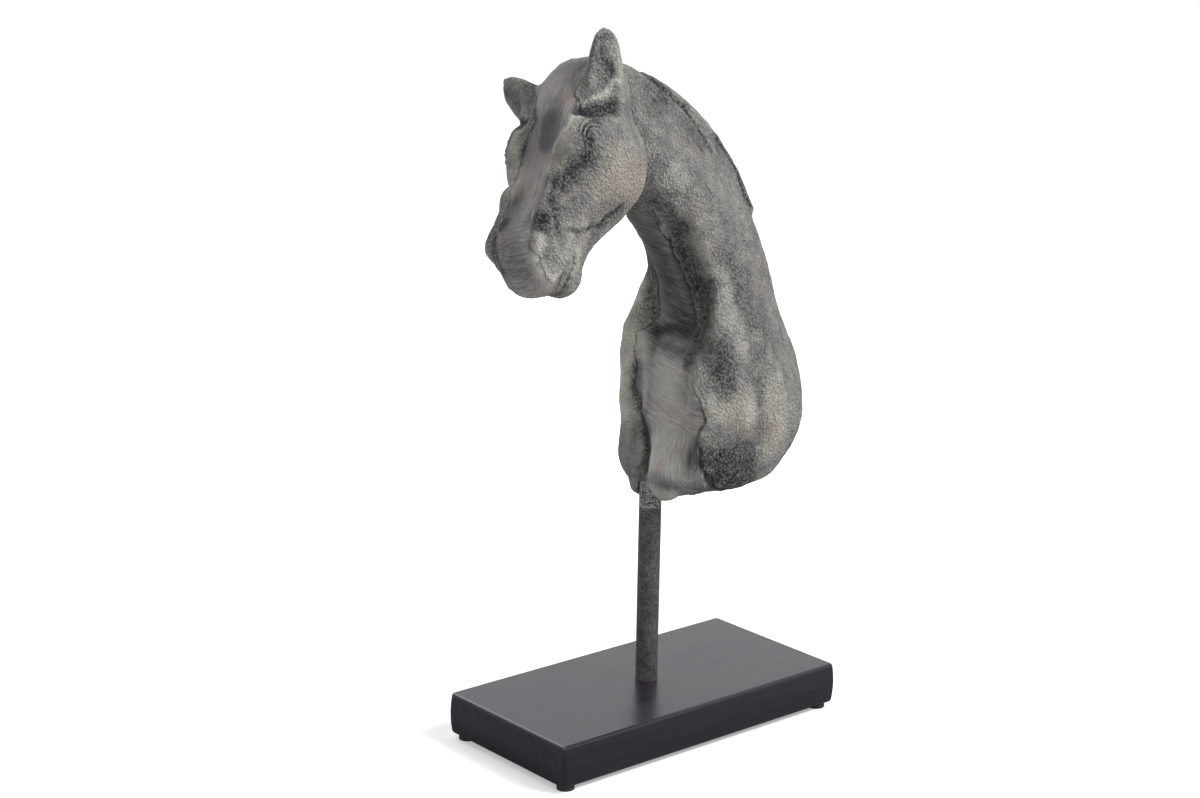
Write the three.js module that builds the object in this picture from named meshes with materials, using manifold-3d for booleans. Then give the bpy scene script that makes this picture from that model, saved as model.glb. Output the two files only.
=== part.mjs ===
// Horse head bust on a steel rod and a wooden block, in millimetres, +Z up.
// The horse faces -Y, its left side is +X, and the origin is under the middle of the whole, on the floor.
import * as THREE from 'three';
import Module from 'manifold-3d';
import { mergeVertices } from 'three/addons/utils/BufferGeometryUtils.js';
import { triTable } from 'three/addons/objects/MarchingCubes.js';

// Block, feet and rod
const blockLength = 250;
const blockWidth = 124;
const blockHeight = 29;
const blockEdgeRadius = 1.4;
const blockSideCrown = 1;
const footDiameter = 12;
const footHeight = 4;
const footInset = 9;
const rodDiameter = 15.5;
const rodShowing = 127;
const rodInBlock = 18;
const rodInBust = 18;
const socketClearance = 0.3;
const seatGap = 0.3;

// Bust: its own height, and the sizes of its forms as they are at the height they were drawn for
const bustHeight = 330;
const drawnHeight = 330;
const headTurn = 11.3;
const headNod = 46.9;
const headTilt = 17.7;
const pollForward = 79;
const pollHeight = 291;
const cheekRadius = 32;
const cheekHalfWidth = 39;
const orbitHalfWidth = 35;
const earLength = 42;
const earHalfWidth = 12.5;
const earHalfThickness = 6.5;
const earHollowShare = 0.62;
const maneHalfWidth = 9;
const maneRise = 2.4;
const maneLowest = 196;
const gridStep = 2.6;
const gridMargin = 12;
const bustTriangles = 8400;

// Smooth joins of two distances, and the profile through a few knots

const square = (v) => v * v;
const clamp = (v, low, high) => Math.min(high, Math.max(low, v));

function ease(low, high, v) {
  const t = clamp((v - low) / (high - low), 0, 1);
  return t * t * (3 - 2 * t);
}

function join(a, b, radius) {
  const h = Math.max(radius - Math.abs(a - b), 0) / radius;
  return Math.min(a, b) - h * h * radius / 4;
}

function common(a, b, radius) {
  return -join(-a, -b, radius);
}

function profile(knots) {
  const slopes = knots.map((knot, i) => {
    const before = knots[Math.max(i - 1, 0)];
    const after = knots[Math.min(i + 1, knots.length - 1)];
    return (after[1] - before[1]) / (after[0] - before[0]);
  });
  return (at) => {
    const last = knots.length - 1;
    if (at <= knots[0][0]) return knots[0][1];
    if (at >= knots[last][0]) return knots[last][1];
    let i = 0;
    while (at > knots[i + 1][0]) i += 1;
    const span = knots[i + 1][0] - knots[i][0];
    const t = (at - knots[i][0]) / span;
    const rise = t * t * (3 - 2 * t);
    return knots[i][1] * (1 - rise) + knots[i + 1][1] * rise
      + span * slopes[i] * t * square(1 - t) - span * slopes[i + 1] * t * t * (1 - t);
  };
}

// Distance to a curve drawn in a plane, positive on its left as it runs, read from a grid of its own

function distanceToCurve(knots, closed) {
  const points = knots.map(([u, v]) => new THREE.Vector3(u, v, 0));
  const line = new THREE.CatmullRomCurve3(points, closed, 'centripetal').getPoints(knots.length * 8);
  const margin = 90;
  const step = 3;
  const lowU = Math.min(...line.map((p) => p.x)) - margin;
  const lowV = Math.min(...line.map((p) => p.y)) - margin;
  const columns = Math.ceil((Math.max(...line.map((p) => p.x)) + margin - lowU) / step) + 1;
  const rows = Math.ceil((Math.max(...line.map((p) => p.y)) + margin - lowV) / step) + 1;
  const values = new Float64Array(columns * rows);
  for (let row = 0; row < rows; row += 1) {
    for (let column = 0; column < columns; column += 1) {
      values[row * columns + column] = signedDistance(line, lowU + column * step, lowV + row * step);
    }
  }
  return (u, v) => {
    const c = clamp((u - lowU) / step, 0, columns - 1.001);
    const r = clamp((v - lowV) / step, 0, rows - 1.001);
    const column = Math.floor(c);
    const row = Math.floor(r);
    const at = row * columns + column;
    const near = values[at] * (1 - c + column) + values[at + 1] * (c - column);
    const far = values[at + columns] * (1 - c + column) + values[at + columns + 1] * (c - column);
    return near * (1 - r + row) + far * (r - row);
  };
}

function signedDistance(line, u, v) {
  let best = Infinity;
  let side = 1;
  for (let i = 0; i + 1 < line.length; i += 1) {
    const du = line[i + 1].x - line[i].x;
    const dv = line[i + 1].y - line[i].y;
    const pu = u - line[i].x;
    const pv = v - line[i].y;
    const t = clamp((pu * du + pv * dv) / (du * du + dv * dv), 0, 1);
    const gap = Math.hypot(pu - t * du, pv - t * dv);
    if (gap < best - 1e-6) {
      best = gap;
      side = Math.sign(du * pv - dv * pu) || 1;
    }
  }
  return best * side;
}

// A raised (or, with a negative height, hollowed) stroke along a run of points

function stroke(points, radius, height) {
  return (x, y, z) => {
    let nearest = radius * radius;
    for (let i = 0; i < Math.max(points.length - 1, 1); i += 1) {
      const a = points[i];
      const b = points[Math.min(i + 1, points.length - 1)];
      const dx = b[0] - a[0];
      const dy = b[1] - a[1];
      const dz = b[2] - a[2];
      const px = x - a[0];
      const py = y - a[1];
      const pz = z - a[2];
      const length = dx * dx + dy * dy + dz * dz;
      const t = length > 0 ? clamp((px * dx + py * dy + pz * dz) / length, 0, 1) : 0;
      nearest = Math.min(nearest, square(px - t * dx) + square(py - t * dy) + square(pz - t * dz));
    }
    return height * square(1 - nearest / (radius * radius));
  };
}

// Neck and chest. Side view: y back from the rod, z up from the bust's underside.

const frontEdge = distanceToCurve([
  [-12, -40], [-12, 0], [-12, 14], [-9, 26], [-5, 38], [0, 50], [4, 64], [8, 90], [14, 110], [18, 127],
  [14, 144], [8, 159], [-3, 177], [-18, 195], [-34, 214], [-48, 236], [-66, 258], [-84, 278],
].reverse(), false);
const backEdge = distanceToCurve([
  [112, -40], [122, 15], [129, 40], [131, 60], [128, 80], [122, 98], [113, 115], [104, 136], [97, 162],
  [83, 191], [73, 210], [61, 229], [43, 250], [22, 269], [-2, 286], [-28, 298], [-50, 302], [-68, 299],
  [-84, 286],
], false);
const underEdge = distanceToCurve([
  [-70, 4], [-10, 0], [20, 1], [50, 2], [75, 5], [94, 13], [111, 29], [125, 53], [140, 90],
], false);
const neckHalfWidth = profile([
  [0, 46], [30, 51], [60, 53], [90, 50], [115, 46], [140, 40], [162, 36], [190, 33.5], [220, 32],
  [250, 30], [285, 27],
]);
const neckFrontDepth = 44;
const neckBackDepth = 52;
const neckUnderDepth = 32;
const neckRollHeight = 262;
const nearUnderRise = 7;
const farUnderRise = 3;
const nearNeckStrokes = [
  stroke([[22, 0, 192], [23, 11, 172], [24, 15, 155], [27, 18, 138], [31, 20, 118], [36, 20, 98]], 15, -3.2),
];
const farNeckStrokes = [
  stroke([[-22, 0, 192], [-23, 11, 172], [-24, 15, 155]], 15, -2.4),
  stroke([[-40, 14, 113], [-42, 14, 100]], 22, 5.5),
];
const neckStrokes = [
  stroke([
    [26, 12, 195], [27, 19, 172], [30, 24, 155], [34, 26, 138], [38, 29, 115], [44, 33, 90], [49, 38, 62],
  ], 18, 3),
  stroke([[54, 12, 104]], 32, -3),
  stroke([[51, 50, 100], [50, 55, 30]], 20, -2.4),
  stroke([[50, 66, 95], [46, 64, 22]], 14, 2.2),
  stroke([[46, 88, 72], [44, 84, 56]], 34, 3),
  stroke([[40, 0, 50], [54, 50, 50]], 16, -1.1),
  stroke([[58, 26, 28]], 34, -2.6),
  stroke([[50, 40, 75]], 24, 2.5),
];

function neck(x, y, z) {
  const roll = THREE.MathUtils.degToRad(headTilt) * 0.8 * ease(60, -50, y) * ease(170, 230, z);
  const up = z - neckRollHeight;
  const sideways = x * Math.cos(roll) + up * Math.sin(roll);
  const across = Math.abs(sideways);
  const height = neckRollHeight + up * Math.cos(roll) - x * Math.sin(roll);
  const halfWidth = neckHalfWidth(height);
  const fromFront = frontEdge(y, height);
  const fromBack = backEdge(y, height);
  const rise = nearUnderRise * ease(0, 34, sideways) + farUnderRise * ease(0, 40, -sideways);
  const fromUnder = underEdge(y, height - rise * ease(90, 40, y));
  const inFront = Math.max(1 - fromFront / neckFrontDepth, 0);
  const inBack = Math.max(1 - fromBack / neckBackDepth, 0);
  const below = Math.max(1 - fromUnder / neckUnderDepth, 0);
  const tapered = halfWidth * (1 - 0.3 * Math.min(inBack, 1));
  const sum = (across / tapered) ** 2.4 + inFront ** 2.4 + inBack ** 1.6 + below ** 2.4;
  let body = (sum ** (1 / 2.4) - 1) * halfWidth * 0.8;
  if (body > 30) return body;
  const lobe = Math.hypot((across - 34) / 16, (y - 36) / 34, (height - 62) / 86) - 1;
  const kept = common(lobe * 22, -fromUnder + 3, 12);
  body = join(body, kept, 5);
  const mane = Math.max(across - maneHalfWidth, -(fromBack + maneRise), fromBack - 30);
  const maneEnd = Math.max(mane, maneLowest - height, -60 - y);
  body = join(body, maneEnd, 3);
  for (const add of neckStrokes) body -= add(across, y, height);
  const oneSided = sideways > 0 ? nearNeckStrokes : farNeckStrokes;
  for (const add of oneSided) body -= add(sideways, y, height);
  return body;
}

// Head. Own frame: l to its left, a from the poll to the muzzle, d from the forehead to the jaw.

const turn = THREE.MathUtils.degToRad(headTurn);
const nod = THREE.MathUtils.degToRad(headNod);
const tilt = THREE.MathUtils.degToRad(headTilt);
const toLeft = new THREE.Vector3(
  Math.cos(tilt) * Math.cos(turn),
  Math.cos(tilt) * Math.sin(turn),
  Math.sin(tilt),
);
const toMuzzle = new THREE.Vector3(
  Math.sin(nod) * Math.sin(tilt) * Math.cos(turn) + Math.cos(nod) * Math.sin(turn),
  Math.sin(nod) * Math.sin(tilt) * Math.sin(turn) - Math.cos(nod) * Math.cos(turn),
  -Math.sin(nod) * Math.cos(tilt),
);
const toJaw = new THREE.Vector3().crossVectors(toLeft, toMuzzle);

const headEdge = distanceToCurve([
  [-30, 12], [-22, -2], [-8, -9], [10, -11], [28, -10], [45, -7], [65, -4.5], [85, -3.5], [105, -2.5],
  [122, -0.5], [133, 5], [142, 14], [146, 24], [142, 34], [132, 42], [124, 52], [116, 58], [108, 56],
  [95, 56], [82, 60], [70, 65], [60, 69], [45, 71], [30, 66], [18, 55], [4, 45], [-14, 36], [-26, 26],
], true);
const headDepth = profile([
  [-20, 22], [20, 34], [45, 36], [70, 29], [90, 25], [105, 23], [122, 25], [142, 14],
]);
const headTopWidth = profile([
  [-20, 25], [0, 27], [20, 27], [42, 28], [60, 26], [75, 23.5], [90, 22], [105, 21.5], [120, 23.5],
  [135, 20], [147, 15],
]);
const headMidWidth = profile([
  [-20, 30], [0, 33], [20, 35], [42, 36], [60, 33], [75, 28.5], [90, 25], [105, 22], [120, 22.5],
  [135, 19], [147, 14],
]);
const headJawWidth = profile([
  [-20, 26], [0, 30], [20, 32], [42, 31], [60, 28], [75, 21], [90, 17], [105, 14.5], [120, 14],
  [135, 12], [147, 9],
]);
const headStrokes = [
  stroke([[30, 27, 2]], 15, -3.5),
  stroke([[32, 58, 14], [26, 74, 13], [22, 90, 10]], 16, -2.2),
  stroke([[35, 54, 28], [28, 72, 28], [23, 88, 26]], 12, 1.4),
  stroke([[23, 88, 40], [22, 98, 34], [20, 108, 31], [17, 126, 33], [13, 142, 33]], 6, -2.2),
  stroke([[0, 62, -6], [0, 88, -5]], 20, -1.2),
];
const nearHeadStrokes = [
  stroke([[18, 108, -4]], 12, -3),
];
const farHeadStrokes = [
  stroke([[-32, 14, 1], [-33, 26, 1]], 15, 5),
  stroke([[-25, 64, 4]], 12, 2),
  stroke([[-17, 88, -1], [-19, 104, 0], [-20, 118, 2]], 14, 5.5),
];

function ellipsoid(l, a, d, centre, radii) {
  const scale = Math.hypot((l - centre[0]) / radii[0], (a - centre[1]) / radii[1], (d - centre[2]) / radii[2]);
  return (scale - 1) * Math.min(...radii);
}

// Each ear is a leaf from its root to its tip, hollowed where it opens

const ears = [
  { root: [28, 7, 7], tip: [33, -27.5, -13], opens: [0.62, 0.7, -0.2], breadth: 0.94 },
  { root: [-27, 9, 6], tip: [-60, -16, -3], opens: [-0.2, 0.8, -0.55], breadth: 1.2 },
].map(({ root, tip, opens, breadth }) => {
  const start = new THREE.Vector3(...root);
  const along = new THREE.Vector3(...tip).sub(start).normalize();
  const facing = new THREE.Vector3(...opens);
  facing.addScaledVector(along, -facing.dot(along)).normalize();
  const halfWidth = earHalfWidth * breadth;
  return { start, along, facing, halfWidth, wide: new THREE.Vector3().crossVectors(along, facing) };
});
const earWidth = profile([[-0.2, 1.15], [0.15, 1.15], [0.45, 1], [0.75, 0.74], [0.93, 0.45], [1, 0.3]]);

function ear(l, a, d, { start, along, facing, halfWidth, wide }) {
  const pl = l - start.x;
  const pa = a - start.y;
  const pd = d - start.z;
  const s = (pl * along.x + pa * along.y + pd * along.z) / earLength;
  const f = pl * facing.x + pa * facing.y + pd * facing.z;
  const w = pl * wide.x + pa * wide.y + pd * wide.z;
  const share = earWidth(s);
  const outer = Math.hypot(w / halfWidth, f / earHalfThickness) / share - 1;
  const leaf = common(outer * earHalfThickness * share, (s - 1) * earLength, 4);
  const sunk = (f - earHalfThickness * share) / earHalfThickness;
  const hollow = Math.hypot(w / halfWidth, sunk) / earHollowShare / share - 1;
  const opened = common(leaf, -hollow * earHalfThickness * share * earHollowShare, 2);
  return common(opened, -(s + 0.2) * earLength, 4);
}

function head(x, y, z) {
  const py = y + pollForward;
  const pz = z - pollHeight;
  const side = x * toLeft.x + py * toLeft.y + pz * toLeft.z;
  const a = x * toMuzzle.x + py * toMuzzle.y + pz * toMuzzle.z;
  const d = x * toJaw.x + py * toJaw.y + pz * toJaw.z;
  if (a < -75 || a > 175 || d < -60 || d > 110) return 30;
  const l = Math.abs(side);
  const depth = headDepth(a);
  const fromEdge = headEdge(a, d);
  const across = clamp((d - 22) / 24, -1, 1);
  const middle = headMidWidth(a);
  const rim = across < 0 ? headTopWidth(a) : headJawWidth(a);
  const halfWidth = middle + (rim - middle) * square(across);
  const inward = Math.max(1 - fromEdge / depth, 0);
  const sum = (l / halfWidth) ** 2.6 + inward ** 2.6;
  let body = (sum ** (1 / 2.6) - 1) * Math.min(halfWidth, depth);
  const cheek = [cheekHalfWidth - 18, 38, 34];
  body = join(body, ellipsoid(l, a, d, cheek, [18, cheekRadius, cheekRadius]), 5);
  body = join(body, ellipsoid(l, a, d, [orbitHalfWidth - 12, 45, 5], [12, 17, 11]), 10);
  body = join(body, ellipsoid(l, a, d, [13, 122, 5.5], [8, 10, 6]), 6);
  body = join(body, ellipsoid(l, a, d, [0, 121, 44], [10, 9, 11]), 6);
  if (body < 12) {
    for (const add of headStrokes) body -= add(l, a, d);
    for (const add of side > 0 ? nearHeadStrokes : farHeadStrokes) body -= add(side, a, d);
  }
  for (const one of ears) body = join(body, ear(side, a, d, one), 4);
  return body;
}

function bustDistance(x, y, z) {
  return join(neck(x, y, z), head(x, y, z), 3);
}

// The skin of the bust: marching over a grid, each crossed edge giving one shared point

const corners = [[0, 0, 0], [1, 0, 0], [1, 1, 0], [0, 1, 0], [0, 0, 1], [1, 0, 1], [1, 1, 1], [0, 1, 1]];
const cellEdges = [
  [0, 1], [1, 2], [2, 3], [3, 0], [4, 5], [5, 6], [6, 7], [7, 4], [0, 4], [1, 5], [2, 6], [3, 7],
];

function skin(distance, low, high, step) {
  const count = high.map((value, i) => Math.ceil((value - low[i]) / step) + 1);
  const stride = [1, count[0], count[0] * count[1]];
  const values = new Float32Array(count[0] * count[1] * count[2]);
  for (let k = 0; k < count[2]; k += 1) {
    for (let j = 0; j < count[1]; j += 1) {
      for (let i = 0; i < count[0]; i += 1) {
        const value = distance(low[0] + i * step, low[1] + j * step, low[2] + k * step);
        values[i + j * stride[1] + k * stride[2]] = value;
      }
    }
  }
  const positions = [];
  const triangles = [];
  const shared = new Map();
  const offset = corners.map((c) => c[0] + c[1] * stride[1] + c[2] * stride[2]);
  const pointOn = (cell, edge, i, j, k) => {
    const [from, to] = cellEdges[edge];
    const a = cell + offset[from];
    const b = cell + offset[to];
    const axis = corners[from].findIndex((at, n) => at !== corners[to][n]);
    const key = Math.min(a, b) * 4 + axis;
    if (shared.has(key)) return shared.get(key);
    const t = clamp(values[a] / (values[a] - values[b]), 0.06, 0.94);
    const place = [i, j, k].map((n, m) => {
      const at = corners[from][m] + t * (corners[to][m] - corners[from][m]);
      return low[m] + (n + at) * step;
    });
    positions.push(place);
    shared.set(key, positions.length - 1);
    return positions.length - 1;
  };
  for (let k = 0; k + 1 < count[2]; k += 1) {
    for (let j = 0; j + 1 < count[1]; j += 1) {
      for (let i = 0; i + 1 < count[0]; i += 1) {
        const cell = i + j * stride[1] + k * stride[2];
        let inside = 0;
        for (let c = 0; c < 8; c += 1) {
          if (values[cell + offset[c]] < 0) inside |= 1 << c;
        }
        if (inside === 0 || inside === 255) continue;
        for (let n = inside * 16; triTable[n] >= 0; n += 3) {
          const three = [triTable[n], triTable[n + 1], triTable[n + 2]];
          triangles.push(three.map((edge) => pointOn(cell, edge, i, j, k)).reverse());
        }
      }
    }
  }
  return { positions, triangles };
}

// Fewer, larger faces where the skin is flat: edges are closed up in order of the error they cause

const quadricOf = ([a, b, c, d], weight) => [
  a * a, a * b, a * c, a * d, b * b, b * c, b * d, c * c, c * d, d * d,
].map((v) => v * weight);

function planeOf(p, q, r) {
  const u = [q[0] - p[0], q[1] - p[1], q[2] - p[2]];
  const v = [r[0] - p[0], r[1] - p[1], r[2] - p[2]];
  const n = [u[1] * v[2] - u[2] * v[1], u[2] * v[0] - u[0] * v[2], u[0] * v[1] - u[1] * v[0]];
  const size = Math.hypot(...n) || 1e-12;
  const unit = n.map((value) => value / size);
  return { plane: [...unit, -(unit[0] * p[0] + unit[1] * p[1] + unit[2] * p[2])], area: size / 2 };
}

function errorAt(q, [x, y, z]) {
  return q[0] * x * x + 2 * q[1] * x * y + 2 * q[2] * x * z + 2 * q[3] * x + q[4] * y * y
    + 2 * q[5] * y * z + 2 * q[6] * y + q[7] * z * z + 2 * q[8] * z + q[9];
}

function bestPlace(q, p, r) {
  const middle = [(p[0] + r[0]) / 2, (p[1] + r[1]) / 2, (p[2] + r[2]) / 2];
  const matrix = new THREE.Matrix3().set(q[0], q[1], q[2], q[1], q[4], q[5], q[2], q[5], q[7]);
  const size = Math.abs(matrix.determinant());
  const scale = (q[0] + q[4] + q[7]) / 3;
  if (size > 1e-4 * scale ** 3) {
    const place = new THREE.Vector3(-q[3], -q[6], -q[8]).applyMatrix3(matrix.invert()).toArray();
    const reach = Math.hypot(p[0] - r[0], p[1] - r[1], p[2] - r[2]);
    if (Math.hypot(place[0] - middle[0], place[1] - middle[1], place[2] - middle[2]) < reach) return place;
  }
  return middle;
}

function thinned({ positions, triangles }, wanted) {
  const keepPlace = 0.002;
  const faces = triangles.map((t) => [...t]);
  const around = positions.map(() => new Set());
  const quadrics = positions.map(([x, y, z]) => {
    const q = [[1, 0, 0, -x], [0, 1, 0, -y], [0, 0, 1, -z]].map((plane) => quadricOf(plane, keepPlace));
    return q[0].map((value, i) => value + q[1][i] + q[2][i]);
  });
  faces.forEach((face, index) => {
    const { plane, area } = planeOf(...face.map((v) => positions[v]));
    const q = quadricOf(plane, area);
    for (const v of face) {
      around[v].add(index);
      for (let i = 0; i < 10; i += 1) quadrics[v][i] += q[i];
    }
  });
  const version = new Uint32Array(positions.length);
  const heap = [];
  const lower = (a, b) => heap[a].cost < heap[b].cost;
  const swap = (a, b) => {
    const held = heap[a];
    heap[a] = heap[b];
    heap[b] = held;
  };
  const push = (entry) => {
    heap.push(entry);
    let at = heap.length - 1;
    while (at > 0 && lower(at, (at - 1) >> 1)) {
      swap(at, (at - 1) >> 1);
      at = (at - 1) >> 1;
    }
  };
  const pop = () => {
    const top = heap[0];
    const end = heap.pop();
    if (heap.length > 0) {
      heap[0] = end;
      let at = 0;
      for (;;) {
        let child = 2 * at + 1;
        if (child >= heap.length) break;
        if (child + 1 < heap.length && lower(child + 1, child)) child += 1;
        if (!lower(child, at)) break;
        swap(child, at);
        at = child;
      }
    }
    return top;
  };
  const offer = (a, b) => {
    const q = quadrics[a].map((value, i) => value + quadrics[b][i]);
    const place = bestPlace(q, positions[a], positions[b]);
    push({ a, b, place, cost: errorAt(q, place), stamp: version[a] + version[b] });
  };
  const neighbours = (v) => {
    const found = new Set();
    for (const f of around[v]) for (const w of faces[f]) found.add(w);
    found.delete(v);
    return found;
  };
  const turnsOver = (v, gone, place) => {
    for (const f of around[v]) {
      if (faces[f].includes(gone)) continue;
      const was = planeOf(...faces[f].map((w) => positions[w])).plane;
      const { plane, area } = planeOf(...faces[f].map((w) => (w === v ? place : positions[w])));
      const alike = was[0] * plane[0] + was[1] * plane[1] + was[2] * plane[2];
      if (alike < 0.3 || area < 0.05) return true;
    }
    return false;
  };
  for (let v = 0; v < positions.length; v += 1) {
    for (const w of neighbours(v)) if (v < w) offer(v, w);
  }
  let left = faces.length;
  while (left > wanted && heap.length > 0) {
    const { a, b, place, stamp } = pop();
    if (!around[a].size || !around[b].size || stamp !== version[a] + version[b]) continue;
    const nearA = neighbours(a);
    const both = [...neighbours(b)].filter((v) => nearA.has(v));
    if (!nearA.has(b) || both.length !== 2) continue;
    if (turnsOver(a, b, place) || turnsOver(b, a, place)) continue;
    for (const f of [...around[b]]) {
      if (faces[f].includes(a)) {
        for (const v of faces[f]) around[v].delete(f);
        left -= 1;
      } else {
        faces[f][faces[f].indexOf(b)] = a;
        around[a].add(f);
      }
    }
    around[b].clear();
    positions[a] = place;
    quadrics[a] = quadrics[a].map((value, i) => value + quadrics[b][i]);
    version[b] += 1;
    for (const w of neighbours(a)) version[w] += 1;
    version[a] += 1;
    for (const w of neighbours(a)) {
      for (const u of neighbours(w)) if (u !== a && u > w) offer(w, u);
      offer(a, w);
    }
  }
  const alive = new Set();
  for (const set of around) for (const f of set) alive.add(f);
  return { positions, triangles: [...alive].map((f) => faces[f]) };
}

function geometryOf({ positions, triangles }) {
  const geometry = new THREE.BufferGeometry();
  geometry.setAttribute('position', new THREE.Float32BufferAttribute(positions.flat(), 3));
  geometry.setIndex(triangles.flat());
  return mergeVertices(geometry, 1e-4);
}

// Cuts

const wasm = await Module();
wasm.setup();

function solid(geometry) {
  const bare = geometry.clone();
  bare.deleteAttribute('normal');
  bare.deleteAttribute('uv');
  const merged = mergeVertices(bare, 1e-4);
  const mesh = new wasm.Mesh({
    numProp: 3,
    vertProperties: new Float32Array(merged.attributes.position.array),
    triVerts: new Uint32Array(merged.index.array),
  });
  return new wasm.Manifold(mesh);
}

function cut(geometry, ...tools) {
  let result = solid(geometry);
  for (const tool of tools) result = result.subtract(solid(tool));
  const mesh = result.getMesh();
  const out = new THREE.BufferGeometry();
  out.setAttribute('position', new THREE.BufferAttribute(new Float32Array(mesh.vertProperties), 3));
  out.setIndex(new THREE.BufferAttribute(new Uint32Array(mesh.triVerts), 1));
  out.computeVertexNormals();
  return out;
}

function pin(diameter, low, high, sides) {
  const geometry = new THREE.CylinderGeometry(diameter / 2, diameter / 2, high - low, sides);
  return geometry.rotateX(Math.PI / 2).translate(0, 0, (low + high) / 2);
}

// Heights of the stack, from the floor up

const blockBottom = footHeight;
const blockTop = blockBottom + blockHeight;
const bustBottom = blockTop + rodShowing;
const rodSides = 40;

// Bust

const scale = bustHeight / drawnHeight;
const headReach = 82;
const farReach = cheekRadius + 22;
const backReach = 128;
const lowCorner = [-farReach, -pollForward - headReach, 0].map((v) => (v - gridMargin) * scale);
const highCorner = [headReach, backReach, pollHeight + earLength].map((v) => (v + gridMargin) * scale);
const bustField = (x, y, z) => bustDistance(x / scale, y / scale, z / scale) * scale;
const bustSkin = skin(bustField, lowCorner, highCorner, gridStep * scale);
const bustForm = geometryOf(thinned(bustSkin, bustTriangles));
const socketDiameter = rodDiameter + 2 * socketClearance;
const bustSocket = pin(socketDiameter, -2 * rodDiameter, rodInBust + seatGap, rodSides);
const bust = new THREE.Mesh(
  cut(bustForm, bustSocket),
  new THREE.MeshStandardMaterial({ color: 0x7d7c77, roughness: 0.8, metalness: 0.1 }),
);
bust.name = 'horse_head';
bust.position.z = bustBottom;

// Rod

const rod = new THREE.Mesh(
  pin(rodDiameter, blockTop - rodInBlock, bustBottom + rodInBust, rodSides),
  new THREE.MeshStandardMaterial({ color: 0x4b4c4d, roughness: 0.45, metalness: 0.9 }),
);
rod.name = 'rod';

// Block: a rectangle whose sides bow out a little between small round edges

function blockForm() {
  const halfHeight = blockHeight / 2;
  const rows = 12;
  const levels = [];
  for (let i = 0; i <= rows; i += 1) {
    const share = -1 + 2 * i / rows;
    const up = Math.sin(share * Math.PI / 2) * halfHeight;
    const nearEdge = Math.max(Math.abs(up) - (halfHeight - blockEdgeRadius), 0);
    const rounding = blockEdgeRadius - Math.sqrt(Math.max(square(blockEdgeRadius) - square(nearEdge), 0));
    levels.push({ up, inset: rounding + blockSideCrown * square(up / halfHeight) });
  }
  const cornerSteps = 5;
  const ring = ({ inset }) => {
    const halfWidth = blockWidth / 2 - inset;
    const halfLength = blockLength / 2 - inset;
    const radius = 1.5 * blockEdgeRadius;
    const points = [];
    for (let corner = 0; corner < 4; corner += 1) {
      const sx = corner === 0 || corner === 3 ? 1 : -1;
      const sy = corner < 2 ? 1 : -1;
      for (let step = 0; step <= cornerSteps; step += 1) {
        const angle = (corner + step / cornerSteps) * Math.PI / 2;
        points.push([
          sx * (halfWidth - radius) + radius * Math.cos(angle),
          sy * (halfLength - radius) + radius * Math.sin(angle),
        ]);
      }
    }
    return points;
  };
  const positions = [];
  const triangles = [];
  const rings = levels.map((level) => ring(level).map(([x, y]) => positions.push([x, y, level.up]) - 1));
  for (let i = 0; i + 1 < rings.length; i += 1) {
    const around = rings[i].length;
    for (let j = 0; j < around; j += 1) {
      const next = (j + 1) % around;
      triangles.push([rings[i][j], rings[i][next], rings[i + 1][next]]);
      triangles.push([rings[i][j], rings[i + 1][next], rings[i + 1][j]]);
    }
  }
  for (const [ends, flip] of [[rings[0], true], [rings[rings.length - 1], false]]) {
    for (let j = 1; j + 1 < ends.length; j += 1) {
      triangles.push(flip ? [ends[0], ends[j + 1], ends[j]] : [ends[0], ends[j], ends[j + 1]]);
    }
  }
  return geometryOf({ positions, triangles }).translate(0, 0, blockBottom + halfHeight);
}

const blockSocketBottom = blockTop - rodInBlock - seatGap;
const blockSocket = pin(socketDiameter, blockSocketBottom, blockTop + rodDiameter, rodSides);
const block = new THREE.Mesh(
  cut(blockForm(), blockSocket),
  new THREE.MeshStandardMaterial({ color: 0x1f1d20, roughness: 0.42, metalness: 0 }),
);
block.name = 'base_block';

// Feet, let into nothing: each pad is stuck under a corner

const statue = new THREE.Group();
statue.add(bust, rod, block);
for (const [end, alongY] of [['front', -1], ['back', 1]]) {
  for (const [side, alongX] of [['left', 1], ['right', -1]]) {
    const foot = new THREE.Mesh(
      pin(footDiameter, 0, footHeight - seatGap, 24),
      new THREE.MeshStandardMaterial({ color: 0x171717, roughness: 0.85, metalness: 0 }),
    );
    foot.name = `foot_${end}_${side}`;
    foot.position.x = alongX * (blockWidth / 2 - footInset);
    foot.position.y = alongY * (blockLength / 2 - footInset);
    statue.add(foot);
  }
}

// The origin goes under the middle of the whole
const around = new THREE.Box3().setFromObject(statue);
statue.position.set(-(around.min.x + around.max.x) / 2, -(around.min.y + around.max.y) / 2, -around.min.z);

export default statue;
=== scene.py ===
import math

import bpy
import numpy as np
from mathutils import Matrix, Vector


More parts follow.
